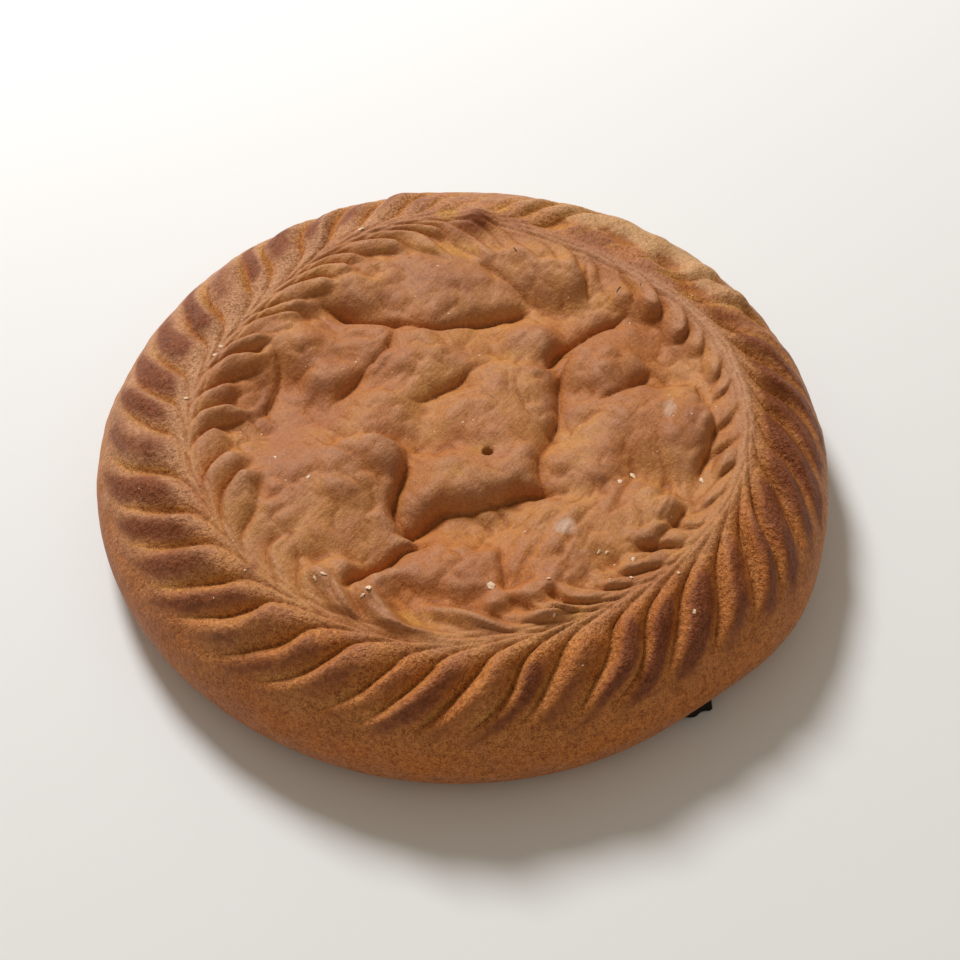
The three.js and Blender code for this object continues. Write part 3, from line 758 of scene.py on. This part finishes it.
def browning_and_painted_light(mesh, pie, corners, facts, places):
    """Values on the crust that its material mixes colours by."""
    edges = np.zeros(len(mesh.edges) * 2, np.int32)
    mesh.edges.foreach_get("vertices", edges)
    normals = np.zeros(len(corners) * 3, np.float32)
    mesh.vertices.foreach_get("normal", normals)
    edges, normals = edges.reshape(-1, 2), normals.reshape(-1, 3)
    near = relaxed(corners, edges, NEAR_ROUNDS)
    wide = relaxed(near, edges, WIDE_ROUNDS)
    hollow = ((wide - corners) * normals).sum(1)
    # How deep each corner lies in a narrow crease, for the painted shade there.
    crease_shade = ((near - corners) * normals).sum(1)
    angle, away = facts.T
    x, y = places.T
    pleat, share = pie.pleat_at(angle, np.maximum(away, 0))
    band = smooth(away, 1.5, 7) * (1 - smooth(away, 20, 33))
    nearest = np.abs((share - 0.06 + 0.5) % 1 - 0.5)
    valley = bell(nearest, 0.13) * band * (0.55 + 0.6 * chance(pleat, 6))
    flank = bell(share - 0.52, 0.3) * smooth(away, 3, 12) * (1 - smooth(away, 20, 40))
    soft = np.clip(1 - 1.1 * swells(angle, LIGHTLY_BAKED), 0, 1)
    flank_darkening = 0.65 + swells(angle, DARKER_FLANKS)
    toast = flank * soft * flank_darkening * (0.5 + 0.9 * chance(pleat, 8))
    toast = toast + swells(angle, TOASTED_BANDS) * band
    # Among the dark spots, the strip at the lid's left edge is a painted shadow.
    toast = toast + spots(x, y, DARK_SPOTS)
    ochre = valley * (1.1 - 0.25 * soft) + spots(x, y, OCHRE_SPOTS)
    pale = swells(angle, PALE_BACK) * smooth(away, 5, 13)
    rosy = swells(angle, ROSY_SEAM) * bell(away, 4)
    # Painted sheen: pale pink on the lamp-facing side, over the lid and along the seam.
    painted_sheen = swells(angle, PAINTED_SHEEN_SIDE) * (1 - smooth(away, 24, 42))
    painted_sheen = PAINTED_SHEEN_LID + (painted_sheen - PAINTED_SHEEN_LID) * smooth(away, -3, 4)
    painted_sheen = painted_sheen + swells(angle, PAINTED_SHEEN_SEAM) * bell(away, 4)
    # Painted shade: deeper orange near the seam at the front, and down the side growing towards the
    # front; the side's least share is its own bake.
    front_shade = swells(angle, FRONT_SHADE) * smooth(away, 0, 8)
    side_amber_and_shade = AMBER_SIDE_LEAST + (1 - AMBER_SIDE_LEAST) * swells(angle, SIDE_SHADE)
    side = 0.8 * smooth(away, 14, 42) * side_amber_and_shade * (1 - 0.8 * swells(angle, PALE_SIDE))
    coarse = 0.4 + 0.6 * smooth(away, -4, 6) - 0.4 * np.clip(pale, 0, 1)
    coarse = coarse * (1 - 0.6 * smooth(away, 16, 34) * (1 - side_amber_and_shade))
    leak = swells(angle, LEAK) * smooth(away, 52, 56)
    values = {
        "hollow": np.clip(hollow * 0.55, -1, 1),
        "crease_shade": np.clip(crease_shade * 5, -1, 1),
        "toast": toast,
        "ochre": ochre,
        "pale": pale,
        # The rosy spot on the lid's front is painted shade.
        "rosy": rosy - 0.4 * front_shade + spots(x, y, ROSY_SPOTS),
        "painted_sheen": painted_sheen,
        "side": np.maximum(side, 0.6 * front_shade) + spots(x, y, LID_FRONT_SHADE),
        "flour": spots(x, y, FLOUR_SPOTS, 2.0) * (away < 0),
        "burnt": smooth(leak, 1.0, 2.2),
        # Painted shade: the inside of the vent hole.
        "vent_shade": pie.vent_share(x, y) * (away < -20),
        "coarse": coarse,
    }
    for name, value in values.items():
        add_values(mesh, name, value)


# ---------------------------------------------------------------- materials


class Finish:
    """A material's nodes, added one line at a time."""

    def __init__(self, name):
        self.material = bpy.data.materials.new(name)
        self.material.use_nodes = True
        self.tree = self.material.node_tree
        self.shader = self.tree.nodes["Principled BSDF"]

    def add(self, kind, **settings):
        node = self.tree.nodes.new(kind)
        for key, value in settings.items():
            setattr(node, key, value)
        return node

    def plug(self, value, socket):
        if isinstance(value, bpy.types.NodeSocket):
            self.tree.links.new(value, socket)
        else:
            socket.default_value = value

    def value_of(self, name):
        return self.add("ShaderNodeAttribute", attribute_name=name).outputs["Fac"]

    def maths(self, operation, *values, clamp=False):
        node = self.add("ShaderNodeMath", operation=operation, use_clamp=clamp)
        for value, socket in zip(values, node.inputs):
            self.plug(value, socket)
        return node.outputs[0]

    def total(self, *terms):
        """The sum of (value, weight) pairs."""
        result = 0.0
        for value, weight in terms:
            result = self.maths("MULTIPLY_ADD", value, weight, result)
        return result

    def range(self, value, low, high, to_low=0.0, to_high=1.0):
        node = self.add("ShaderNodeMapRange", interpolation_type="SMOOTHSTEP")
        for entry, socket in zip((value, low, high, to_low, to_high), node.inputs):
            self.plug(entry, socket)
        return node.outputs[0]

    def mix(self, share, under, over, blend="MIX"):
        node = self.add("ShaderNodeMix", data_type="RGBA", blend_type=blend)
        self.plug(share, node.inputs[0])
        self.plug(under, node.inputs[6])
        self.plug(over, node.inputs[7])
        return node.outputs[2]

    def noise(self, size, detail=4.0, roughness=0.6, stretch=None, warp=0.0):
        """Noise with features about the given size across, in metres."""
        place = self.add("ShaderNodeTexCoord").outputs["Object"]
        if stretch is not None:
            mapping = self.add("ShaderNodeMapping", vector_type="TEXTURE")
            mapping.inputs["Rotation"].default_value = (0, 0, math.radians(stretch[0]))
            mapping.inputs["Scale"].default_value = (stretch[1], 1, 1)
            self.plug(place, mapping.inputs["Vector"])
            place = mapping.outputs[0]
        node = self.add("ShaderNodeTexNoise")
        self.plug(place, node.inputs["Vector"])
        node.inputs["Scale"].default_value = 1 / size
        node.inputs["Detail"].default_value = detail
        node.inputs["Roughness"].default_value = roughness
        node.inputs["Distortion"].default_value = warp
        return node.outputs["Fac"]

    def bump(self, height, depth, normal=None):
        node = self.add("ShaderNodeBump")
        node.inputs["Distance"].default_value = depth
        self.plug(height, node.inputs["Height"])
        if normal is not None:
            self.plug(normal, node.inputs["Normal"])
        return node.outputs[0]


# What the crust's colour is multiplied by in the pits and on the crests of its grain.
GRAIN_DARK = (0.52, 0.38, 0.28, 1.0)
GRAIN_LIGHT = (1.48, 1.62, 1.80, 1.0)

# Which ways the skin's fibres run, in degrees.
FIBRE_TURNS = (55, 115)

# How deep the bumps of the skin go, in metres, and how strongly it shines.
GRAIN_DEPTH = 0.0009
PEBBLE_DEPTH = 0.0006
FIBRE_DEPTH = 0.0005
BLOTCH_DEPTH = 0.0002
CRUST_IOR = 1.45
CRUST_SHINE = 0.2


def crust_material(colours):
    f = Finish("baked_crust")
    broad = f.noise(0.045, 3.0, 0.55)
    patch = f.noise(0.014, 4.0, 0.6)
    blotch = f.noise(0.005, 4.0, 0.62)
    grain = f.noise(0.0009, 3.0, 0.65)
    speck = f.noise(0.0005, 2.0, 0.6)
    pebble = f.noise(0.0016, 2.0, 0.5)
    fibres = [f.noise(0.0013, 3.0, 0.6, (turn, 4.0), 0.3) for turn in FIBRE_TURNS]
    hollow = f.value_of("hollow")
    crease_shade = f.value_of("crease_shade")
    base = f.mix(f.range(broad, 0.40, 0.60), colours.golden, colours.tan)
    # The side's deeper orange: its own bake, with painted shade towards the front.
    base = f.mix(f.value_of("side"), base, colours.amber_and_shade)
    rosy = f.total((patch, 1.0), (hollow, -0.25), (blotch, 0.35), (f.value_of("rosy"), 0.5))
    base = f.mix(f.range(rosy, 0.55, 1.0, 0.0, 0.65), base, colours.rosy)
    # Painted sheen, strongest on crests.
    painted_sheen = f.total((f.value_of("painted_sheen"), 1.0), (hollow, -0.5), (blotch, 0.4), (patch, 0.3))
    base = f.mix(f.range(painted_sheen, 0.65, 1.35, 0.0, 0.75), base, colours.painted_sheen)
    ochre = f.total((f.value_of("ochre"), 1.0), (hollow, 0.3), (blotch, 0.5), (patch, 0.4))
    base = f.mix(f.range(ochre, 0.6, 1.5), base, colours.ochre)
    toast = f.total(
        (f.value_of("toast"), 1.0), (patch, 1.3), (blotch, 1.0), (grain, 1.4), (speck, 1.0)
    )
    base = f.mix(f.range(toast, 2.55, 3.5), base, colours.brown)
    pale = f.total((f.value_of("pale"), 1.0), (patch, 0.9), (blotch, 0.4), (hollow, -0.25))
    base = f.mix(f.range(pale, 1.0, 1.75), base, colours.pale)
    # Painted shade: hollows turned a deeper, more saturated orange.
    base = f.mix(f.range(hollow, 0.05, 0.7, 0.0, 0.4), base, colours.amber_and_shade)
    # Painted shade: the bottoms of narrow creases darkened.
    base = f.mix(f.range(crease_shade, 0.1, 1.0, 0.0, 0.55), base, colours.crease_shade)
    fibre = f.total(*((one, 1 / len(fibres)) for one in fibres))
    texture = f.total((speck, 0.34), (grain, 0.26), (pebble, 0.16), (fibre, 0.13), (blotch, 0.11))
    dark = f.mix(1.0, base, GRAIN_DARK, "MULTIPLY")
    light = f.mix(1.0, base, GRAIN_LIGHT, "MULTIPLY")
    grained = f.mix(f.range(texture, 0.38, 0.62), dark, light)
    coarse = f.value_of("coarse")
    base = f.mix(coarse, base, grained)
    flour = f.total((f.value_of("flour"), 1.0), (grain, 0.6), (blotch, 0.5))
    base = f.mix(f.range(flour, 0.7, 1.6, 0.0, 0.75), base, colours.flour)
    # Painted shade: the inside of the vent hole turned near black.
    base = f.mix(f.range(f.value_of("vent_shade"), 0.35, 0.9), base, colours.burnt)
    base = f.mix(f.value_of("burnt"), base, colours.burnt)
    f.plug(base, f.shader.inputs["Base Color"])
    rough = f.range(grain, 0.3, 0.7, 0.42, 0.6)
    f.plug(rough, f.shader.inputs["Roughness"])
    f.shader.inputs["IOR"].default_value = CRUST_IOR
    f.shader.inputs["Specular IOR Level"].default_value = CRUST_SHINE
    normal = f.bump(f.maths("MULTIPLY", texture, coarse), GRAIN_DEPTH)
    rough_skin = f.maths("MULTIPLY", pebble, f.maths("MULTIPLY", coarse, coarse))
    normal = f.bump(rough_skin, PEBBLE_DEPTH, normal)
    normal = f.bump(fibre, FIBRE_DEPTH, normal)
    normal = f.bump(blotch, BLOTCH_DEPTH, normal)
    f.plug(normal, f.shader.inputs["Normal"])
    return f.material


def plain_material(name, tint):
    f = Finish(name)
    f.plug(tint, f.shader.inputs["Base Color"])
    f.shader.inputs["Roughness"].default_value = 0.8
    return f.material


# ---------------------------------------------------------------- settings


def length(name, description, millimetres):
    return bpy.props.FloatProperty(
        name=name, description=description, default=millimetres * MM, min=0.0, unit="LENGTH"
    )


def colour(name, description, red, green, blue):
    return bpy.props.FloatVectorProperty(
        name=name,
        description=description,
        default=(red, green, blue, 1.0),
        size=4,
        min=0.0,
        max=1.0,
        subtype="COLOR",
    )


class PieSizes(bpy.types.PropertyGroup):
    outline_radius: length("Outline radius", "Mean radius where the side is widest", 130.0)
    seam_radius: length("Seam radius", "Mean radius of the crimped seam", 95.5)
    seam_height: length("Seam height", "Height of the seam above the foot", 42.0)
    lid_drop: length("Lid drop", "How far the lid's floor lies below the seam", 9.5)
    pleat_height: length("Pleat height", "Height of the pleats outside the seam", 4.6)
    tuck_height: length("Tuck height", "Height of the tucks inside the seam", 3.4)


class PieColours(bpy.types.PropertyGroup):
    golden: colour("Golden", "The crust's main colour", 0.42, 0.163, 0.053)
    tan: colour("Tan", "Paler patches of the crust", 0.485, 0.222, 0.074)
    # Also used for painted shade on the lid's front.
    rosy: colour("Rosy", "Crests browned to a warm pink brown", 0.36, 0.148, 0.078)
    # Painted sheen: the pale pink of crests lit by the lamp.
    painted_sheen: colour("Blush", "Crests baked to a pale pink brown", 0.47, 0.238, 0.118)
    ochre: colour("Ochre", "Hollows between the pleats", 0.485, 0.228, 0.056)
    # Partly the side's own deeper bake, partly painted shade at the front, on the lid's front and in
    # hollows.
    amber_and_shade: colour("Amber", "The side, baked to a deep orange brown", 0.49, 0.148, 0.022)
    brown: colour("Brown", "Well baked crests", 0.215, 0.062, 0.020)
    # Painted shade in the bottoms of folds.
    crease_shade: colour("Crease", "The bottoms of folds", 0.25, 0.075, 0.015)
    pale: colour("Pale", "The lightly baked back", 0.51, 0.285, 0.13)
    flour: colour("Flour", "Rubbed flour", 0.60, 0.42, 0.32)
    burnt: colour("Burnt", "Burnt filling", 0.012, 0.008, 0.008)
    dough: colour("Dough", "Flecks of dried dough", 0.78, 0.58, 0.40)
    floor: colour("Floor", "The stage's floor", 0.78, 0.80, 0.82)


# ---------------------------------------------------------------- the stage, in metres

FLOOR_REACH = 4000  # in millimetres, like every mesh
SKY_COLOUR = (1.0, 0.86, 0.68, 1.0)
SKY_STRENGTH = 0.355
LAMP = {"place": (-0.55, 1.13, 1.3), "size": 0.5, "power": 32.4, "tint": (1.0, 0.99, 0.98)}
CAMERA_ELEVATION = 50.6
CAMERA_DISTANCE = 0.5485
CAMERA_LENS = 55.8
CAMERA_SHIFT = (0.0182, -0.0024)


# ---------------------------------------------------------------- operators


class PIE_OT_crust(bpy.types.Operator):
    """Builds the whole pie with its browned crust"""

    bl_idname = "pie.crust"
    bl_label = "Crust"

    def execute(self, context):
        pie = Pie(context.scene.pie_sizes)
        corners, triangles, facts, places = pie_net(pie)
        mesh = mesh_of("pie_crust", corners, triangles)
        browning_and_painted_light(mesh, pie, corners, facts, places)
        piece = piece_of("pie_crust", mesh, crust_material(context.scene.pie_colours))
        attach(piece, "root")
        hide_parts("pie")
        return {"FINISHED"}


# Flecks of dried dough seen on the crust: place and size across.
FLECKS = (
    (57, -30, 3.4),
    (52.5, -34, 2.4),
    (80, -33, 2.6),
    (9, -78, 3.2),
    (-29, -82.5, 2.6),
    (-31, -84.5, 2.2),
    (-46, -77.5, 2.4),
    (-43.5, -77, 2.0),
    (43.5, -65, 1.8),
    (46, -65.4, 1.6),
    (54, -69, 1.8),
    (53, -76, 1.8),
    (27, -77, 1.7),
    (28, -91, 1.8),
    (46, -77, 1.4),
    (68, -74, 1.6),
    (72, -87, 1.5),
    (-63, -26, 1.4),
    (-51, -36, 1.8),
    (-86.5, 26, 2.2),
    (-88, 22, 2.6),
    (-96, 1, 1.8),
    (-39, 88, 2.4),
)

# Burnt shreds in slits of the lid: place, length and turn.
SHREDS = (
    (57.5, 55, 4.6, 62),
    (66, 57, 1.8, 70),
    (20, 75, 3.0, -60),
    (22, 90, 1.8, 20),
    (-20, 73, 1.6, 0),
)


# Small crumbs strewn by chance: how many, within what radius, and their sizes. A chip's width is a
# share of its length.
CRUMBS = 70
CRUMB_CIRCLE = 118
CRUMB_SIZES = (0.5, 1.0)
CHIP_SLIM = 0.7
SHRED_SLIM = 0.16
CHIP_SIDES = 7
CHANCE_SEED = 7


class PIE_OT_flecks(bpy.types.Operator):
    """Scatters the flecks of dried dough and the burnt shreds over the crust"""

    bl_idname = "pie.flecks"
    bl_label = "Flecks"

    def execute(self, context):
        colours = context.scene.pie_colours
        crust = bpy.data.objects["pie_crust"].data
        self.tree = BVHTree.FromPolygons(
            [v.co for v in crust.vertices], [p.vertices[:] for p in crust.polygons]
        )
        self.chances = np.random.default_rng(CHANCE_SEED)
        chips = [(x, y, size, None, CHIP_SLIM) for x, y, size in FLECKS]
        for _ in range(CRUMBS):
            radius = CRUMB_CIRCLE * math.sqrt(self.chances.random())
            x, y = polar(360 * self.chances.random(), radius)
            chips.append((x, y, self.chances.uniform(*CRUMB_SIZES), None, CHIP_SLIM))
        self.make("pie_flecks", chips, plain_material("dry_dough", colours.dough))
        shreds = [(x, y, size, turn, SHRED_SLIM) for x, y, size, turn in SHREDS]
        self.make("pie_shreds", shreds, plain_material("burnt_shred", colours.burnt))
        return {"FINISHED"}

    def make(self, name, chips, material):
        corners, faces = [], []
        for chip in chips:
            self.chip(corners, faces, *chip)
        mesh = mesh_of(name, corners, faces)
        mesh.polygons.foreach_set("use_smooth", [False] * len(mesh.polygons))
        piece = piece_of(name, mesh, material)
        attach(piece, "root")

    def chip(self, corners, faces, x, y, size, turn, slim):
        """A thin uneven chip lying on the crust: a rim and a middle above and below."""
        draw = self.chances
        place, normal, _, _ = self.tree.ray_cast(Vector((x, y, 80)) * MM, Vector((0, 0, -1)))
        across = Vector((1, 0, 0)).cross(normal).cross(normal).normalized()
        along = normal.cross(across)
        first = len(corners)
        slim = slim * draw.uniform(0.7, 1.2)
        if turn is None:
            turn = 360 * draw.random()
        for side in range(CHIP_SIDES):
            reach = 0.5 * size * draw.uniform(0.6, 1.25)
            u, v = polar(360 * (side + 0.5 * draw.random()) / CHIP_SIDES, reach)
            u, v = turned(u, slim * v, -turn)
            lift = draw.uniform(0.02, 0.16) * size * min(1, 2 * slim)
            corners.append((place / MM - across * u - along * v + normal * lift)[:])
        for lift in (0.18, -0.12):
            corners.append((place / MM + normal * (lift * size * min(1, 2 * slim)))[:])
        for side in range(CHIP_SIDES):
            now, after = first + side, first + (side + 1) % CHIP_SIDES
            faces.append((now, after, first + CHIP_SIDES))
            faces.append((after, now, first + CHIP_SIDES + 1))


class PIE_OT_stage(bpy.types.Operator):
    """Sets the pale floor, the soft light and the camera"""

    bl_idname = "pie.stage"
    bl_label = "Stage"

    def execute(self, context):
        scene = context.scene
        ways = ((-1, -1), (1, -1), (1, 1), (-1, 1))
        corners = [(FLOOR_REACH * right, FLOOR_REACH * back, 0) for right, back in ways]
        floor = mesh_of("floor", corners, [(0, 1, 2, 3)])
        f = Finish("pale_floor")
        f.plug(scene.pie_colours.floor, f.shader.inputs["Base Color"])
        f.shader.inputs["Roughness"].default_value = 0.9
        piece_of("floor", floor, f.material)
        world = bpy.data.worlds.new("studio")
        scene.world = world
        world.use_nodes = True
        sky = world.node_tree.nodes["Background"]
        sky.inputs["Color"].default_value = SKY_COLOUR
        sky.inputs["Strength"].default_value = SKY_STRENGTH
        self.lamp("window", **LAMP)
        self.camera(scene)
        scene.view_settings.view_transform = "Standard"
        return {"FINISHED"}

    @staticmethod
    def lamp(name, place, size, power, tint):
        light = bpy.data.lights.new(name, "AREA")
        light.shape = "DISK"
        light.size = size
        light.energy = power
        light.color = tint
        lamp = bpy.data.objects.new(name, light)
        lamp.location = place
        lamp.rotation_euler = (-Vector(place)).to_track_quat("-Z", "Y").to_euler()
        bpy.context.scene.collection.objects.link(lamp)

    @staticmethod
    def camera(scene):
        elevation = math.radians(CAMERA_ELEVATION)
        data = bpy.data.cameras.new("camera")
        data.sensor_width = 36.0
        data.lens = CAMERA_LENS
        data.shift_x, data.shift_y = CAMERA_SHIFT
        data.clip_start = 0.01
        camera = bpy.data.objects.new("camera", data)
        height, back = math.sin(elevation), math.cos(elevation)
        camera.location = (0, -CAMERA_DISTANCE * back, CAMERA_DISTANCE * height)
        camera.rotation_euler = (math.pi / 2 - elevation, 0, 0)
        scene.collection.objects.link(camera)
        scene.camera = camera


class PIE_PT_panel(bpy.types.Panel):
    """Lists the pie's settings and its operators"""

    bl_idname = "PIE_PT_panel"
    bl_label = "Crimped Pie"
    bl_space_type = "VIEW_3D"
    bl_region_type = "UI"
    bl_category = "Pie"

    def draw(self, context):
        for group in (context.scene.pie_sizes, context.scene.pie_colours):
            box = self.layout.box()
            for name in group.__annotations__:
                box.prop(group, name)
        for operator in OPERATORS:
            self.layout.operator(operator.bl_idname)


OPERATORS = (PIE_OT_crust, PIE_OT_flecks, PIE_OT_stage)
CLASSES = (PieSizes, PieColours, *OPERATORS, PIE_PT_panel)


def register():
    for cls in CLASSES:
        bpy.utils.register_class(cls)
    bpy.types.Scene.pie_sizes = bpy.props.PointerProperty(type=PieSizes)
    bpy.types.Scene.pie_colours = bpy.props.PointerProperty(type=PieColours)


def unregister():
    del bpy.types.Scene.pie_colours
    del bpy.types.Scene.pie_sizes
    for cls in reversed(CLASSES):
        bpy.utils.unregister_class(cls)


def main():
    register()
    bpy.ops.pie.crust()
    bpy.ops.pie.flecks()
    bpy.ops.pie.stage()


if __name__ == "__main__":
    main()
